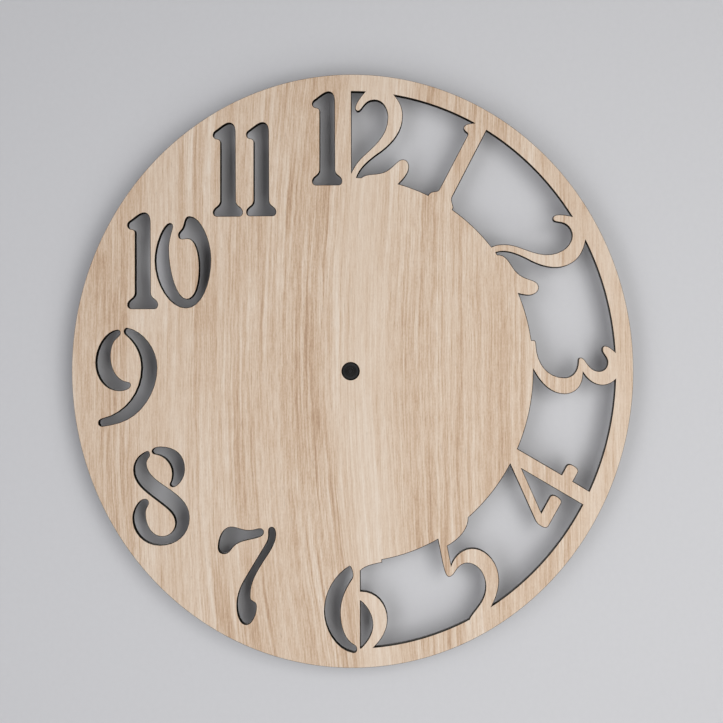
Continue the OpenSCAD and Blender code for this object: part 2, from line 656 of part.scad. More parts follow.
module contact_negative() color([0.75, 0.73, 0.68]) from_wall() {
  x = -room;
  top = cell_y + 5;
  difference() {
    // folded leaf that presses on the cell, and the strap from it through the bay wall to the circuit board
    translate([0, 0, 2.4]) linear_extrude(10) polygon([
      [x, cell_y - 5], [cell_x0 - 0.3, cell_y - 1.6], [cell_x0, cell_y - 1.2],
      [cell_x0, cell_y + 1.2], [cell_x0 - 0.3, cell_y + 1.6], [x + 0.5, cell_y + 3.6],
      [x + 0.5, cell_y + 3.2], [cell_x0 - 0.4, cell_y + 0.9], [cell_x0 - 0.4, cell_y - 0.9],
      [x + 0.3, cell_y - 3.4], [x + 0.3, bay_top - strap_t], [tail_x + strap_t, bay_top - strap_t],
      [tail_x + strap_t, -7.5], [tail_x, -7.5], [tail_x, bay_top], [x, bay_top]]);
    // the strap is narrower than the leaf
    slab(x - 1, tail_x + 1, top, 0, 0, strap_z);
    slab(x - 1, tail_x + 1, top, 0, strap_z + strap_h, case_d);
  }
}

// ---- electronics and motor ----
board_x0 = 20.2;
board_x1 = 26.2;
board_y0 = -8.6;
board_y1 = 10;
board_lo = 7.8;
module circuit_board() color([0.1, 0.3, 0.18]) from_wall() {
  difference() {
    slab(board_x0, board_x1, board_y0, board_y1, board_lo, plate_z);
    for (y = [-5.5, 7]) {
      translate([23.4, y, 0]) rod(0.6, 0, 20);
    }
  }
}
module chip_blob() color([0.03, 0.03, 0.03]) from_wall() {
  // cap of a ball, glued under the board
  intersection() {
    translate([22.8, 2.6, board_lo + 2.1]) sphere(3);
    slab(15, 30, -5, 10, 0, board_lo);
  }
}
module quartz_crystal() color([0.8, 0.8, 0.82]) from_wall() {
  translate([24.6, -4.6, board_lo - 1]) rotate([-90, 0, 0]) {
    cylinder(r = 1, h = 5);
    translate([0, 0, -0.3]) cylinder(r = 0.8, h = 0.4);
  }
}
module coil_bobbin() color([0.85, 0.86, 0.84]) from_wall() {
  difference() {
    union() {
      slab(-22, -21.2, coil_y - 2.1, coil_y + 2.1, coil_z - 2.1, coil_z + 2.1);
      slab(-15, -14.2, coil_y - 2.1, coil_y + 2.1, coil_z - 2.1, coil_z + 2.1);
      slab(-21.3, -14.9, coil_y - 1.3, coil_y + 1.3, coil_z - 0.9, coil_z + 0.9);
    }
    slab(-23, -13, coil_y - 1, coil_y + 1, coil_z - 0.5, coil_z + 0.5);
  }
}
module coil_winding() color([0.7, 0.36, 0.16]) from_wall() {
  difference() {
    translate([-21.2, coil_y, coil_z]) rotate([0, 90, 0]) cylinder(r = 2, h = 6.2);
    slab(-23, -13, coil_y - 1.3, coil_y + 1.3, coil_z - 0.9, coil_z + 0.9);
  }
}
module coil_core() color([0.55, 0.56, 0.58]) from_wall() {
  slab(core_x0, core_x0 + 3, coil_y - 1.6, coil_y + 1.6, coil_z - 0.5, coil_z + 0.5);
  slab(core_x1 - 3, core_x1, coil_y - 1.6, coil_y + 1.6, coil_z - 0.5, coil_z + 0.5);
  slab(core_x0 + 2.9, core_x1 - 2.9, coil_y - 1, coil_y + 1, coil_z - 0.5, coil_z + 0.5);
}
module stator_plate() color([0.5, 0.51, 0.53]) from_wall() {
  r = at_rotor;
  translate([0, 0, 5.2]) linear_extrude(0.7) difference() {
    union() {
      translate([core_x0, r[1] - 4.6]) square([core_x1 - core_x0, 9.2]);
      translate([core_x0, r[1]]) square([3, coil_y + 1.6 - r[1]]);
      translate([core_x1 - 3, r[1]]) square([3, coil_y + 1.6 - r[1]]);
    }
    translate(r) circle(3.1);
    // two notches that rest the rotor off centre
    translate(r) rotate(45) translate([3, 0]) circle(0.5, $fn = 24);
    translate(r) rotate(225) translate([3, 0]) circle(0.5, $fn = 24);
    // slots that leave only thin bridges between the poles
    translate([r[0] - 0.2, r[1] + 3.5]) square([0.4, 3]);
    translate([r[0] - 0.2, r[1] - 6.5]) square([0.4, 3]);
  }
}
module rotor_magnet() color([0.2, 0.2, 0.21]) from_wall() {
  on(at_rotor) difference() {
    rod(2.8, 4.6, 6.4);
    rod(0.8, 4, 7);
  }
}
module rotor_pinion() color([0.9, 0.9, 0.86]) from_wall() {
  on(at_rotor) {
    pinion(m_motor, 8, in_mesh(way_rotor, 60, way_rotor, 8), 2.9, 4.2);
    rod(1, 4.2 - eps, 4.6);
    rod(0.8, 4.6 - eps, 6.7);
    rod(pivot_r, 0.75, 9.2);
  }
}

// ---- going train ----
module intermediate_wheel() color([0.9, 0.9, 0.86]) from_wall() {
  on(at_inter) {
    wheel(m_motor, 60, way_rotor, 3.2, 3.9, 4, 1.5, 4.3);
    pinion(m_seconds, 15, in_mesh(way_inter, 60, way_inter, 15), 1.95, 3.2 + eps);
    rod(1, 3.9 - eps, 4.7);
    rod(pivot_r, 0.75, 9.2);
  }
}
module seconds_wheel() color([0.86, 0.3, 0.22]) from_wall() {
  difference() {
    union() {
      wheel(m_seconds, 60, way_inter, 2.0, 2.7, 4, 1.6, 4.9);
      rod(1.3, 2.7 - eps, 4.2);
      pinion(m_third, 8, way_third, 4.2 - eps, 5.4);
    }
    rod(seconds_r, 0, 10);
  }
}
module seconds_arbor() color([0.2, 0.2, 0.21]) from_wall() {
  rod(seconds_r, 0.75, 5.6);
  rod(seconds_r + seat_step, 5.5, minute_z + seat_gap);
  rod(seconds_r, minute_z + seat_gap - eps, seconds_z - 0.3);
  translate([0, 0, seconds_z - 0.3]) cylinder(r1 = seconds_r, r2 = seconds_r - 0.2, h = 0.3);
}
module third_wheel() color([0.9, 0.9, 0.86]) from_wall() {
  on(at_third) {
    wheel(m_third, 60, in_mesh(way_third, 8, way_third, 60), 4.5, 5.2, 5, 1.7, 5.4);
    pinion(m_centre, 8, way_third + 180, 5.2 - eps, 7.4);
    rod(1, 3.7, 4.5 + eps);
    rod(pivot_r, 0.75, 9.2);
  }
}
module centre_wheel() color([0.9, 0.9, 0.86]) from_wall() {
  difference() {
    wheel(m_centre, 64, in_mesh(way_third + 180, 8, way_third, 64), 6.2, 7.0, 5, 1.7, 6.1);
    rod(shank_r + play, 0, 20);
  }
}
module clutch_spring() color([0.75, 0.62, 0.34]) from_wall() {
  difference() {
    rotate_extrude() {
      polygon([
        [shank_r + 0.02, 7.95], [1.8, 7.95], [3.4, 7.0], [4.0, 7.0],
        [4.0, 7.2], [3.5, 7.2], [1.9, 8.15], [shank_r + 0.02, 8.15]]);
    }
    for (i = [0:2]) {
      rotate(i * 120 + 60) slab(2, 6, -1.4, 1.4, 6, 9);
    }
  }
}
module minute_arbor() color([0.09, 0.09, 0.095]) from_wall() {
  difference() {
    union() {
      rod(1.9, 5.7, 6.2);
      rod(shank_r, 6.2 - eps, 8.2);
      rod(minute_r, 8.2 - eps, minute_z - 0.3);
      rod(minute_r + seat_step, 11.6, hour_z + seat_gap);
      pinion(m_minute, 12, way_minute, 10.2, 11.4);
      translate([0, 0, minute_z - 0.3]) cylinder(r1 = minute_r, r2 = minute_r - 0.25, h = 0.3);
    }
    rod(seconds_r + seat_step + play, 0, minute_z + 1);
  }
}

// ---- motion work ----
module minute_wheel() color([0.9, 0.9, 0.86]) from_wall() {
  on(at_minute) difference() {
    union() {
      wheel(m_minute, 36, turn_minute, 10.4, 11.2, 4, 1, 3.6);
      pinion(m_hour, 10, way_minute + 180, 11.2 - eps, 13.2);
      rod(1.1, 9.9, 10.4 + eps);
    }
    rod(post_r + play, 0, 20);
  }
}
module hour_wheel() color([0.08, 0.08, 0.085]) from_wall() {
  difference() {
    union() {
      wheel(m_hour, 40, in_mesh(way_minute + 180, 10, way_minute, 40), 12.0, 12.8, 4, 0.8, 4.6);
      rod(3.6, 12.8 - eps, front_in - 0.3);
      rod(hour_r + seat_step, 11.8, face_z + seat_gap);
      rod(hour_r, face_z + seat_gap - eps, hour_z - 0.3);
      translate([0, 0, hour_z - 0.3]) cylinder(r1 = hour_r, r2 = hour_r - 0.25, h = 0.3);
    }
    rod(minute_r + seat_step + play, 0, hour_z + 1);
  }
}
module setting_knob() color([0.12, 0.12, 0.125]) from_wall() {
  on(at_setting) {
    difference() {
      rod(4.5, 0.4, 2.6);
      rod(3.4, 0, 1);
      for (i = [0:23]) {
        rotate(i * 15) translate([4.7, 0, 0]) rod(0.4, 0, 3);
      }
    }
    rod(0.8, 2.6 - eps, 10.4);
    pinion(m_minute, 16, turn_setting, 10.2, 11.4);
  }
}

dial_panel();
foam_pad();
case_front();
case_back();
middle_plate();
wall_hanger();
battery_cell();
battery_sleeve();
contact_positive();
contact_negative();
circuit_board();
chip_blob();
quartz_crystal();
coil_bobbin();
coil_winding();
coil_core();
stator_plate();
rotor_magnet();
rotor_pinion();
intermediate_wheel();
seconds_wheel();
seconds_arbor();
third_wheel();
centre_wheel();
clutch_spring();
minute_arbor();
minute_wheel();
hour_wheel();
setting_knob();
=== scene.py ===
"""A laser-cut wooden wall clock: oak board with cut-out and standing digits, quartz movement behind it.

Metres, Z up, X right. The dial faces -Y, and the clock's back lies in the plane y = 0.
"""

import math

import bmesh
import bpy
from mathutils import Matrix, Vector
from mathutils.geometry import delaunay_2d_cdt


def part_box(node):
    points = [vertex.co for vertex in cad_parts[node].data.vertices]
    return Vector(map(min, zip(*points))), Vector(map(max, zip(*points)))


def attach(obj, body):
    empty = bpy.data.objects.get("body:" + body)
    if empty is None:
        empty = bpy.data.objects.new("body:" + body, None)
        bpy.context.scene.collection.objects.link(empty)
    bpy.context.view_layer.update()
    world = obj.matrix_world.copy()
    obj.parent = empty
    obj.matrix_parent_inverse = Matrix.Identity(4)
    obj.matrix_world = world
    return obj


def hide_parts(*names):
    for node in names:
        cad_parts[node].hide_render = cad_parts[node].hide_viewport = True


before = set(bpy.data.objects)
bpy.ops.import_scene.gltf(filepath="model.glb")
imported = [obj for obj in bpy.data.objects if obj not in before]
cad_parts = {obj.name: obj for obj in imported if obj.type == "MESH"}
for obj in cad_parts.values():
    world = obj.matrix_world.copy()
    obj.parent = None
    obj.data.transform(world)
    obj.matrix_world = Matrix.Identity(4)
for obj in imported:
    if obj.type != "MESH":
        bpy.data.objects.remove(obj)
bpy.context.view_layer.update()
MM = 0.001


# ---- shader helpers ----
class Shader:
    """Builds one material's node tree. Sockets are passed as numbers, colours or other nodes' outputs."""

    def __init__(self, name):
        self.material = bpy.data.materials.new(name)
        self.material.use_nodes = True
        self.tree = self.material.node_tree
        self.tree.nodes.clear()
        self.output = self.tree.nodes.new("ShaderNodeOutputMaterial")

    def node(self, kind, inputs=(), **settings):
        made = self.tree.nodes.new("ShaderNode" + kind)
        for key, value in settings.items():
            setattr(made, key, value)
        for key, value in dict(inputs).items():
            self.put(made.inputs[key], value)
        return made

    def put(self, socket, value):
        if isinstance(value, bpy.types.NodeSocket):
            self.tree.links.new(value, socket)
        elif socket.type == "RGBA":
            socket.default_value = (*value, 1)
        else:
            socket.default_value = value

    def math(self, operation, *values):
        made = self.node("Math", operation=operation)
        for socket, value in zip(made.inputs, values):
            self.put(socket, value)
        return made.outputs[0]

    def point(self, scale=(1, 1, 1)):
        """Object coordinates in millimetres, scaled."""
        coords = self.node("TexCoord").outputs["Object"]
        return self.node("Mapping", {"Vector": coords, "Scale": tuple(s / MM for s in scale)}).outputs[0]

    def axes(self):
        """The object's x, y and z in millimetres."""
        split = self.node("SeparateXYZ", {0: self.point()})
        return split.outputs[0], split.outputs[1], split.outputs[2]

    def flat(self, across, up, across_scale, up_scale, seed):
        """A flat pattern's coordinates: two millimetre values, each scaled, and a fixed slice."""
        made = self.node("CombineXYZ", {1: float(seed)})
        self.put(made.inputs[0], self.math("MULTIPLY", across, across_scale))
        self.put(made.inputs[2], self.math("MULTIPLY", up, up_scale))
        return made.outputs[0]

    def noise(self, vector, detail=2, rough=0.5):
        inputs = {"Vector": vector, "Scale": 1, "Detail": detail, "Roughness": rough}
        return self.node("TexNoise", inputs).outputs["Fac"]

    def ramp(self, fac, stops, smooth=False):
        """Stops are (place, colour), or (place, value) for a grey one."""
        made = self.node("ValToRGB", {"Fac": fac})
        ramp = made.color_ramp
        ramp.interpolation = "B_SPLINE" if smooth else "LINEAR"
        while len(ramp.elements) < len(stops):
            ramp.elements.new(1)
        for element, (place, colour) in zip(ramp.elements, stops):
            element.position = place
            element.color = (*colour, 1) if isinstance(colour, tuple) else (colour, colour, colour, 1)
        return made.outputs["Color"]

    def range(self, value, low, high, to_low=0.0, to_high=1.0):
        inputs = {0: value, 1: low, 2: high, 3: to_low, 4: to_high}
        return self.node("MapRange", inputs).outputs[0]

    def mix(self, fac, a, b):
        return self.node("Mix", {0: fac, 6: a, 7: b}, data_type="RGBA").outputs[2]

    def bump(self, height, depth, strength):
        """Depth is in millimetres."""
        return self.node("Bump", {"Height": height, "Distance": depth * MM, "Strength": strength}).outputs[0]

    def surface(self, **inputs):
        names = {key.replace("_", " ").title().replace("Ior", "IOR"): value for key, value in inputs.items()}
        made = self.node("BsdfPrincipled", names)
        self.tree.links.new(made.outputs[0], self.output.inputs["Surface"])
        return made


# ---- materials ----
OAK_SPAN = 150  # mm from the middle to either end of the bands
# broad bands: x in mm, and how light the oak is there, from 0 to 1
OAK_BANDS = [
    (-150, 0.5), (-128, 0.25), (-116, 0.3), (-100, 0.6), (-88, 0.75), (-78, 0.3), (-68, 0.7), (-56, 0.3),
    (-44, 0.5), (-36, 0.35), (-24, 0.1), (-15, 0.15), (-8, 0.75), (4, 1.0), (14, 0.85), (26, 0.35), (40, 0.3),
    (52, 0.45), (62, 0.5), (74, 0.3), (88, 0.5), (104, 0.4), (122, 0.75), (150, 0.75),
]
DARK_TONE, BAND_SWING = 0.345, 0.30  # the darkest band's tone, and how much more the lightest has
OAK_TONES = [
    (0.05, (0.428, 0.278, 0.178)), (0.30, (0.556, 0.398, 0.276)), (0.50, (0.643, 0.499, 0.376)),
    (0.72, (0.712, 0.590, 0.476)), (0.95, (0.768, 0.670, 0.572)),
]
OAK_PORE = (0.330, 0.215, 0.140)
# each pattern's changes per mm across and up, its slice, detail and roughness
OAK_PATTERNS = {
    "drift": (0.011, 0.007, 4, 1, 0.5),
    "wiggle": (0.05, 0.030, 9, 3, 0.5),
    "crowd": (0.035, 0.005, 21, 2, 0.5),
    "lines": (0.34, 0.006, 2, 2, 0.6),
    "fine": (0.95, 0.014, 5, 2, 0.6),
    "patches": (0.06, 0.010, 7, 3, 0.6),
    "fibre": (1.5, 0.10, 11, 3, 0.7),
    "fleck": (1.7, 0.75, 17, 2, 0.6),
    "pores": (1.9, 0.14, 13, 2, 0.7),
}
GRAIN_DRIFT, GRAIN_WIGGLE = 3.5, 1.1  # mm either way
GRAIN_BOW = 5.5  # mm, at BOW_HEIGHT above or below the bow's middle
BOW_X, BOW_Z = -13.5, 15  # mm, the bow's middle
BOW_WIDTH, BOW_HEIGHT = 45, 100  # mm


def oak():
    """Light oak veneer with vertical grain: broad dark and light bands, growth lines, pores and flecks."""
    s = Shader("oak_face")
    across, _, up = s.axes()

    def pattern(name, place):
        across_scale, up_scale, seed, detail, rough = OAK_PATTERNS[name]
        return s.noise(s.flat(place, up, across_scale, up_scale, seed), detail, rough)

    # the grain wanders: a slow drift, a bow left of the middle, and small wiggles
    drift = s.range(pattern("drift", across), 0, 1, -GRAIN_DRIFT, GRAIN_DRIFT)
    wiggle = s.range(pattern("wiggle", across), 0, 1, -GRAIN_WIGGLE, GRAIN_WIGGLE)
    height = s.math("MULTIPLY_ADD", up, 1 / BOW_HEIGHT, -BOW_Z / BOW_HEIGHT)
    side = s.math("MULTIPLY_ADD", across, 1 / BOW_WIDTH, -BOW_X / BOW_WIDTH)
    bow = s.math("DIVIDE", s.math("MULTIPLY", height, height), s.math("MULTIPLY_ADD", side, side, 1.0))
    moved = s.math("ADD", drift, s.math("MULTIPLY_ADD", bow, -GRAIN_BOW, wiggle))
    grain = s.math("ADD", across, moved)
    stops = [((OAK_SPAN + x) / (2 * OAK_SPAN), light) for x, light in OAK_BANDS]
    bands = s.ramp(s.range(grain, -OAK_SPAN, OAK_SPAN), stops, smooth=True)
    # every pattern is strongest in the dark bands, and growth lines also crowd and fade across the board
    depth = s.range(bands, 0, 1, 1.25, 0.7)
    lined = s.math("MULTIPLY", depth, s.range(pattern("crowd", grain), 0.3, 0.7, 0.40, 1.50))
    fibre = pattern("fibre", across)
    swings = [
        (pattern("lines", grain), 0.90, lined),
        (pattern("fine", grain), 0.85, lined),
        (pattern("patches", grain), 0.60, depth),
        (fibre, 0.95, depth),
        (pattern("fleck", across), 0.40, depth),
    ]
    tone = s.math("MULTIPLY_ADD", bands, BAND_SWING, DARK_TONE)
    for value, amount, weight in swings:
        swing = s.math("MULTIPLY", s.math("SUBTRACT", value, 0.5), s.math("MULTIPLY", weight, amount))
        tone = s.math("ADD", tone, swing)
    pore = s.math("MULTIPLY", s.range(pattern("pores", grain), 0.60, 0.74), depth)
    colour = s.mix(s.math("MULTIPLY", pore, 0.45), s.ramp(tone, OAK_TONES), OAK_PORE)
    relief = s.math("SUBTRACT", s.math("MULTIPLY", fibre, 0.5), s.math("MULTIPLY", pore, 0.7))
    s.surface(base_color=colour, roughness=0.58, specular_ior_level=0.22, normal=s.bump(relief, 0.06, 0.35))
    return s.material


def scorched():
    """The laser's cut wall: charred, with fine striations through the board's thickness."""
    s = Shader("scorched_edge")
    lines = s.noise(s.point((2.2, 0.10, 2.2)), detail=3, rough=0.6)
    patches = s.noise(s.point((0.12, 0.3, 0.12)), detail=3)
    tone = s.math("ADD", s.math("MULTIPLY", lines, 0.6), s.math("MULTIPLY", patches, 0.4))
    stops = [(0.30, (0.003, 0.002, 0.0015)), (0.55, (0.007, 0.005, 0.003)), (0.75, (0.020, 0.012, 0.008))]
    s.surface(base_color=s.ramp(tone, stops), roughness=0.85, specular_ior_level=0.06,
              normal=s.bump(lines, 0.12, 0.6))
    return s.material


def fibreboard():
    """The board's back: brown pressed fibre, cloudy in tone, with pale flecks."""
    s = Shader("fibreboard_back")
    fibres = s.noise(s.point((1.1, 1.1, 0.7)), detail=4, rough=0.7)
    clouds = s.noise(s.point((0.03,) * 3), detail=3)
    flecks = s.noise(s.point((2.6,) * 3), detail=2)
    tone = s.math("ADD", s.math("MULTIPLY", fibres, 0.65), s.math("MULTIPLY", clouds, 0.35))
    stops = [(0.3, (0.045, 0.025, 0.014)), (0.5, (0.075, 0.043, 0.024)), (0.7, (0.115, 0.070, 0.040))]
    colour = s.mix(s.range(flecks, 0.62, 0.75, 0.0, 0.5), s.ramp(tone, stops), (0.200, 0.135, 0.085))
    s.surface(base_color=colour, roughness=0.8, specular_ior_level=0.15, normal=s.bump(fibres, 0.08, 0.4))
    return s.material


def plastic(name, colour, roughness, grain, scale, subsurface=0.0, dust_tone=0.05, specular=0.5):
    """Moulded plastic with an eroded mould texture, slight tone changes and faint dust."""
    s = Shader(name)
    patches = s.noise(s.point((0.15,) * 3), detail=3)
    texture = s.noise(s.point((scale,) * 3), detail=3, rough=0.6)
    dust = s.noise(s.point((1.7,) * 3), detail=4, rough=0.7)
    lighter = tuple(c * 1.25 + 0.002 for c in colour)
    dusty = tuple(c * 0.8 + dust_tone for c in colour)
    tone = s.mix(s.range(patches, 0.35, 0.65), colour, lighter)
    tone = s.mix(s.range(dust, 0.60, 0.80, 0.0, 0.18), tone, dusty)
    rough = s.range(texture, 0.2, 0.8, roughness - 0.06, roughness + 0.08)
    extra = {"subsurface_weight": subsurface, "subsurface_scale": 1 * MM} if subsurface else {}
    s.surface(base_color=tone, roughness=rough, specular_ior_level=specular,
              normal=s.bump(texture, 0.03, grain), **extra)
    return s.material


def metal(name, colour, roughness, along, stain_colour=None):
    """Rolled or drawn metal with faint stains and fine brush lines. The lines run where along is small."""
    s = Shader(name)
    brush = s.noise(s.point(along), detail=3, rough=0.6)
    stain = s.noise(s.point((0.2,) * 3), detail=4, rough=0.6)
    spots = s.noise(s.point((1.3,) * 3), detail=2)
    tone = s.mix(s.range(stain, 0.4, 0.7), colour, stain_colour or tuple(c * 0.82 for c in colour))
    tone = s.mix(s.range(spots, 0.66, 0.76, 0.0, 0.4), tone, tuple(c * 0.45 for c in colour))
    rough = s.range(brush, 0.2, 0.8, roughness - 0.08, roughness + 0.12)
    s.surface(base_color=tone, metallic=1.0, roughness=rough, normal=s.bump(brush, 0.02, 0.2))
    return s.material


def foam():
    """Black closed-cell foam tape: pinholes and a soft, matt grain."""
    s = Shader("foam_tape")
    cells = s.node("TexVoronoi", {"Vector": s.point((2.4,) * 3), "Scale": 1}).outputs["Distance"]
    clouds = s.noise(s.point((0.6,) * 3), detail=3)
    base = s.ramp(clouds, [(0.3, (0.020, 0.020, 0.022)), (0.7, (0.038, 0.038, 0.041))])
    colour = s.mix(s.range(cells, 0.0, 0.25, 0.7, 0.0), base, (0.006, 0.006, 0.006))
    s.surface(base_color=colour, roughness=0.92, specular_ior_level=0.1, normal=s.bump(cells, 0.2, 0.8))
    return s.material


SLEEVE_HALF = 26  # mm from the middle to either end of the pattern
TEAL, PALE, GREY = (0.012, 0.075, 0.085), (0.62, 0.62, 0.58), (0.10, 0.11, 0.12)


def battery_sleeve():
    """The cell's printed shrink sleeve: a teal field, a pale ring and a grey end, with no lettering."""
    s = Shader("cell_sleeve")
    across, _, _ = s.axes()
    wrinkle = s.noise(s.point((0.12, 1.5, 1.5)), detail=3, rough=0.6)
    wear = s.noise(s.point((1.2,) * 3), detail=4, rough=0.7)
    edge = s.math("ADD", across, s.range(wrinkle, 0, 1, -0.15, 0.15))
    stops = [(0.0, TEAL), (0.70, TEAL), (0.702, PALE), (0.73, PALE), (0.732, GREY), (1.0, GREY)]
    film = s.ramp(s.range(edge, -SLEEVE_HALF, SLEEVE_HALF), stops)
    colour = s.mix(s.range(wear, 0.66, 0.74, 0.0, 0.5), film, (0.30, 0.31, 0.30))
    s.surface(base_color=colour, roughness=s.range(wear, 0.3, 0.7, 0.26, 0.40), coat_weight=0.4,
              coat_roughness=0.15, normal=s.bump(wrinkle, 0.04, 0.3))
    return s.material


def board_mask():
    """Green solder mask over copper tracks, with bare tinned pads."""
    s = Shader("circuit_board")
    wave = {"Vector": s.point((0.0, 1.0, 1.0)), "Scale": 0.16, "Distortion": 2.5, "Detail": 0.0}
    tracks = s.node("TexWave", wave, wave_type="BANDS", bands_direction="Z").outputs["Fac"]
    spots = {"Vector": s.point((0.5,) * 3), "Scale": 1, "Randomness": 0.35}
    pad = s.range(s.node("TexVoronoi", spots).outputs["Distance"], 0.16, 0.20, 1.0, 0.0)
    base = s.mix(s.range(tracks, 0.62, 0.68), (0.008, 0.070, 0.030), (0.020, 0.125, 0.050))
    s.surface(base_color=s.mix(pad, base, (0.62, 0.60, 0.55)), metallic=s.math("MULTIPLY", pad, 0.9),
              roughness=0.35, normal=s.bump(tracks, 0.03, 0.5))
    return s.material


def winding():
    """Enamelled copper wire in close turns round the bobbin."""
    s = Shader("copper_winding")
    wave = {"Vector": s.point(), "Scale": 1.6, "Distortion": 0.3}
    turns = s.node("TexWave", wave, wave_type="BANDS", bands_direction="X").outputs["Fac"]
    tint = s.noise(s.point((0.6,) * 3), detail=2)
    colour = s.mix(s.range(tint, 0.3, 0.7), (0.56, 0.20, 0.07), (0.72, 0.31, 0.12))
    s.surface(base_color=colour, metallic=1.0, roughness=0.3, normal=s.bump(turns, 0.06, 0.9))
    return s.material


def wall_paint():
    """Matt painted wall. Its back is clear, so that views from behind see the clock."""
    s = Shader("wall_paint")
    roller = s.noise(s.point((0.35,) * 3), detail=4, rough=0.6)
    tone = s.mix(s.range(roller, 0.3, 0.7), (0.60, 0.60, 0.615), (0.612, 0.612, 0.627))
    matt = s.surface(base_color=tone, roughness=0.85, specular_ior_level=0.1, normal=s.bump(roller, 0.1, 0.1))
    clear = s.node("BsdfTransparent")
    back = s.node("NewGeometry").outputs["Backfacing"]
    both = s.node("MixShader", {0: back, 1: matt.outputs[0], 2: clear.outputs[0]})
    s.tree.links.new(both.outputs[0], s.output.inputs["Surface"])
    return s.material


# ---- the dial ----
ARRIS = 0.32 * MM  # rounding of the cut-outs' edges, as dark as the cut
OUTER_ARRIS = 0.15 * MM  # rounding of the board's outer edge
MITRE_LIMIT = 0.35  # least cosine used at a sharp corner, so that it doesn't spike
FACE, CUT, BACK = 0, 1, 2  # the board's material slots


def outlines(node, plane_y):
    """Closed outlines of a flat board's face, as (x, z) points with the wood on their left."""
    near = 0.01 * MM
    found = {}
    for face in node.data.polygons:
        corners = [node.data.vertices[i].co for i in face.vertices]
        if all(abs(c.y - plane_y) < near for c in corners):
            keys = [(round(c.x, 7), round(c.z, 7)) for c in corners]
            if sum(a[0] * b[1] - b[0] * a[1] for a, b in zip(keys, keys[1:] + keys[:1])) < 0:
                keys.reverse()
            # an edge that two faces share isn't on an outline
            for a, b in zip(keys, keys[1:] + keys[:1]):
                if (b, a) in found:
                    del found[b, a]
                else:
                    found[a, b] = True
    following = {}
    for a, b in found:
        following.setdefault(a, []).append(b)
    loops = []
    while following:
        at = next(iter(following))
        loop = []
        while at in following:
            loop.append(at)
            after = following[at].pop()
            if not following[at]:
                del following[at]
            at = after
        loops.append(loop)
    return loops


def moved_in(loop, distance):
    """The outline moved into the wood by distance, mitred at corners."""
    points = [Vector(p) for p in loop]
    result = []
    for before, at, after in zip(points[-1:] + points[:-1], points, points[1:] + points[:1]):
        a, b = (at - before).normalized(), (after - at).normalized()
        left_a, left_b = Vector((-a.y, a.x)), Vector((-b.y, b.x))
        mid = (left_a + left_b).normalized()
        result.append(at + mid * distance / max(MITRE_LIMIT, mid.dot(left_a)))
    return result


def edge_profile(arris, front_y, back_y):
    """Points through the board's thickness: distance into the wood, and y."""
    front = [(arris * (1 - math.cos(t)), front_y + arris * (1 - math.sin(t)))
             for t in (math.pi / 2, math.pi / 4, 0)]
    return front + [(inset, front_y + back_y - y) for inset, y in reversed(front)]


def build_dial():
    """The board again, from the CAD outlines, with rounded arrises and its own face and edge materials."""
    low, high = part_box("dial_panel")
    loops = outlines(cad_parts["dial_panel"], low.y)
    outer = max(loops, key=lambda loop: max(x for x, z in loop))
    mesh = bmesh.new()
    rings = []
    for loop in loops:
        rows = []
        for inset, y in edge_profile(OUTER_ARRIS if loop is outer else ARRIS, low.y, high.y):
            rows.append([mesh.verts.new((p.x, y, p.y)) for p in moved_in(loop, inset)])
        rings.append(rows)
        for upper, lower in zip(rows, rows[1:]):
            for i in range(len(loop)):
                j = (i + 1) % len(loop)
                face = mesh.faces.new((upper[i], lower[i], lower[j], upper[j]))
                face.material_index = CUT
                face.smooth = True
    # the front and the back, each a flat face with the cut-outs left open
    for row, slot in ((0, FACE), (-1, BACK)):
        verts = [v for rows in rings for v in rows[row]]
        flat = [Vector((v.co.x, v.co.z)) for v in verts]
        faces, start = [], 0
        for rows in rings:
            faces.append(list(range(start, start + len(rows[row]))))
            start += len(rows[row])
        edges = [(f[i], f[(i + 1) % len(f)]) for f in faces for i in range(len(f))]
        points, _, triangles, origin, _, _ = delaunay_2d_cdt(flat, edges, [], 0, 1e-9)
        for t in inside_only(points, triangles, [[flat[i] for i in f] for f in faces]):
            corners = [verts[origin[i][0]] for i in t]
            if slot == BACK:
                corners.reverse()
            mesh.faces.new(corners).material_index = slot
    bmesh.ops.recalc_face_normals(mesh, faces=mesh.faces)
    return add_object("dial_board", mesh)


def inside_only(points, triangles, loops):
    """Triangles whose middle is in the wood: inside the outer outline and outside every hole."""
    def crossings(x, y, loop):
        count = 0
        for a, b in zip(loop, loop[1:] + loop[:1]):
            if (a.y > y) != (b.y > y) and x < a.x + (y - a.y) * (b.x - a.x) / (b.y - a.y):
                count += 1
        return count

    boxes = []
    for loop in loops:
        xs, ys = [p.x for p in loop], [p.y for p in loop]
        boxes.append((min(xs), max(xs), min(ys), max(ys)))
    keep = []
    for t in triangles:
        mid = sum((points[i] for i in t), Vector((0, 0))) / 3
        total = 0
        for loop, (x0, x1, y0, y1) in zip(loops, boxes):
            if x0 <= mid.x <= x1 and y0 <= mid.y <= y1:
                total += crossings(mid.x, mid.y, loop)
        if total % 2:
            keep.append(t)
    return keep


def add_object(name, mesh):
    """A new object in the scene that takes over a bmesh."""
    data = bpy.data.meshes.new(name)
    mesh.to_mesh(data)
    mesh.free()
    made = bpy.data.objects.new(name, data)
    bpy.context.scene.collection.objects.link(made)
    return made


board = build_dial()
for material in (oak(), scorched(), fibreboard()):
    board.data.materials.append(material)
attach(board, "movement")
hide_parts("dial_panel")

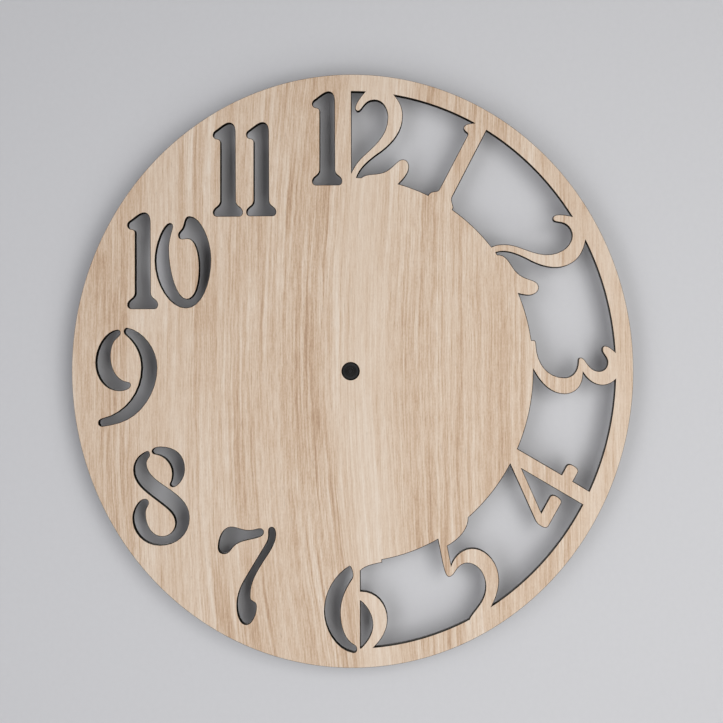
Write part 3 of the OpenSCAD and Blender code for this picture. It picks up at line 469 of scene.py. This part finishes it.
# ---- the CAD nodes' materials ----
case_black = plastic("case_plastic", (0.007, 0.007, 0.008), 0.6, 0.3, 4, dust_tone=0.015, specular=0.3)
post_black = plastic("post_plastic", (0.0035, 0.0035, 0.004), 0.5, 0.1, 8, dust_tone=0.006, specular=0.2)
acetal = plastic("gear_plastic", (0.74, 0.74, 0.69), 0.42, 0.1, 7, subsurface=0.25)
plate_white = plastic("plate_plastic", (0.66, 0.67, 0.65), 0.48, 0.12, 6, subsurface=0.15)
nickel = metal("nickel_steel", (0.63, 0.61, 0.56), 0.30, (6, 0.2, 0.2))
zinc = metal("zinc_plated_steel", (0.56, 0.57, 0.58), 0.34, (5, 0.3, 0.2), (0.46, 0.46, 0.50))
sheet_iron = metal("iron_sheet", (0.42, 0.42, 0.44), 0.36, (0.2, 0.2, 5))
looks = {
    "foam_pad": foam(),
    "case_front": case_black,
    "case_back": case_black,
    "middle_plate": plate_white,
    "coil_bobbin": plate_white,
    "wall_hanger": zinc,
    "quartz_crystal": nickel,
    "contact_positive": nickel,
    "contact_negative": nickel,
    "battery_cell": metal("cell_can", (0.60, 0.60, 0.59), 0.26, (0.2, 4, 4)),
    "battery_sleeve": battery_sleeve(),
    "circuit_board": board_mask(),
    "chip_blob": plastic("epoxy_blob", (0.006, 0.006, 0.007), 0.22, 0.05, 3),
    "coil_winding": winding(),
    "coil_core": sheet_iron,
    "stator_plate": sheet_iron,
    "rotor_magnet": metal("ferrite_magnet", (0.11, 0.11, 0.115), 0.5, (3, 3, 3)),
    "seconds_wheel": plastic("gear_red", (0.52, 0.055, 0.030), 0.42, 0.1, 7, subsurface=0.1),
    "seconds_arbor": metal("blackened_steel", (0.030, 0.030, 0.033), 0.5, (5, 0.3, 5)),
    "clutch_spring": metal("brass_spring", (0.72, 0.52, 0.24), 0.28, (4, 4, 4)),
    "minute_arbor": post_black,
    "hour_wheel": post_black,
    "setting_knob": post_black,
}
# the wheels and pinions that looks leaves out are white acetal
for name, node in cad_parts.items():
    node.data.materials.clear()
    node.data.materials.append(looks.get(name, acetal))

# ---- stage, light, camera ----
WALL_GAP, WALL_HALF = 0.4 * MM, 2.5  # how far the wall is behind the clock, and its half size
FAR_WALL, FAR_WALL_HALF = -2.5, 12.0  # y and half size of the wall that views from behind see


def add_wall(name, y, half, facing_back=False):
    """A square of painted wall in the plane y."""
    mesh = bmesh.new()
    square = ((-half, -half), (half, -half), (half, half), (-half, half))
    mesh.faces.new([mesh.verts.new((x, 0.0, z)) for x, z in square])
    wall = add_object(name, mesh)
    wall.location.y = y
    # lets the lamp behind reach the clock's back
    wall.visible_shadow = False
    wall.data.materials.append(wall_material)
    if facing_back:
        # takes no part in the light
        wall.rotation_euler.z = math.pi
        wall.visible_diffuse = False
        wall.visible_glossy = False


wall_material = wall_paint()
add_wall("wall", WALL_GAP, WALL_HALF)
add_wall("far_wall", FAR_WALL, FAR_WALL_HALF, facing_back=True)

ALL_BOUNCES = 1024  # Blender's own default


def add_light(name, spot, aim, size, watts, colour=(1, 1, 1), bounces=ALL_BOUNCES):
    """A rectangular lamp at spot that points at aim."""
    data = bpy.data.lights.new(name, "AREA")
    data.shape = "RECTANGLE"
    data.size, data.size_y = size
    data.energy = watts
    data.color = colour
    data.cycles.max_bounces = bounces
    light = bpy.data.objects.new(name, data)
    light.location = spot
    light.rotation_mode = "QUATERNION"
    light.rotation_quaternion = (Vector(aim) - Vector(spot)).to_track_quat("-Z", "Y")
    bpy.context.scene.collection.objects.link(light)


# soft boxes in one plane in front of the wall: name, x, z, width, height, watts, colour
BOX_PLANE = -0.84
BOXES = [
    ("right", 0.30, -0.02, 0.34, 0.60, 3.65, (1.0, 0.995, 0.985)),
    ("right_wide", 0.42, -0.30, 0.60, 1.30, 3.55, (1.0, 1.0, 0.99)),
    ("left", -0.30, -0.08, 0.30, 0.60, 1.85, (0.975, 0.975, 1.0)),
    ("left_wide", -0.38, -0.20, 0.60, 1.20, 2.05, (0.975, 0.975, 1.0)),
]
for name, x, z, width, height, watts, colour in BOXES:
    add_light(name, (x, BOX_PLANE, z), (x, 0, z), (width, height), watts, colour)
# lights the back directly and adds nothing to the wall in front
BEHIND_SPOT, BEHIND_SIZE, BEHIND_WATTS = (-1.2, 2.2, 1.2), (1.5, 1.5), 150
add_light("behind", BEHIND_SPOT, (0, 0, 0), BEHIND_SIZE, BEHIND_WATTS, bounces=0)

ROOM_COLOUR, ROOM_STRENGTH = (0.93, 0.95, 1.0, 1), 0.13
world = bpy.data.worlds.new("soft_room")
world.use_nodes = True
background = world.node_tree.nodes["Background"].inputs
background["Color"].default_value = ROOM_COLOUR
background["Strength"].default_value = ROOM_STRENGTH
bpy.context.scene.world = world

# the eye stands a little right of the dial's middle and turns back towards it
EYE_BACK, EYE_RIGHT, EYE_UP = 0.6245, 0.0252, 0.0049
TURN_LEFT = 1.807  # degrees
LENS, SENSOR = 61.57, 36  # mm
face_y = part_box("dial_panel")[0].y
camera_data = bpy.data.cameras.new("camera")
camera_data.lens = LENS
camera_data.sensor_width = SENSOR
camera_data.clip_start = 10 * MM
camera = bpy.data.objects.new("camera", camera_data)
camera.location = (EYE_RIGHT, face_y - EYE_BACK, EYE_UP)
camera.rotation_euler = (math.radians(90), 0, math.radians(TURN_LEFT))
bpy.context.scene.collection.objects.link(camera)
bpy.context.scene.camera = camera
bpy.context.scene.view_settings.view_transform = "Standard"
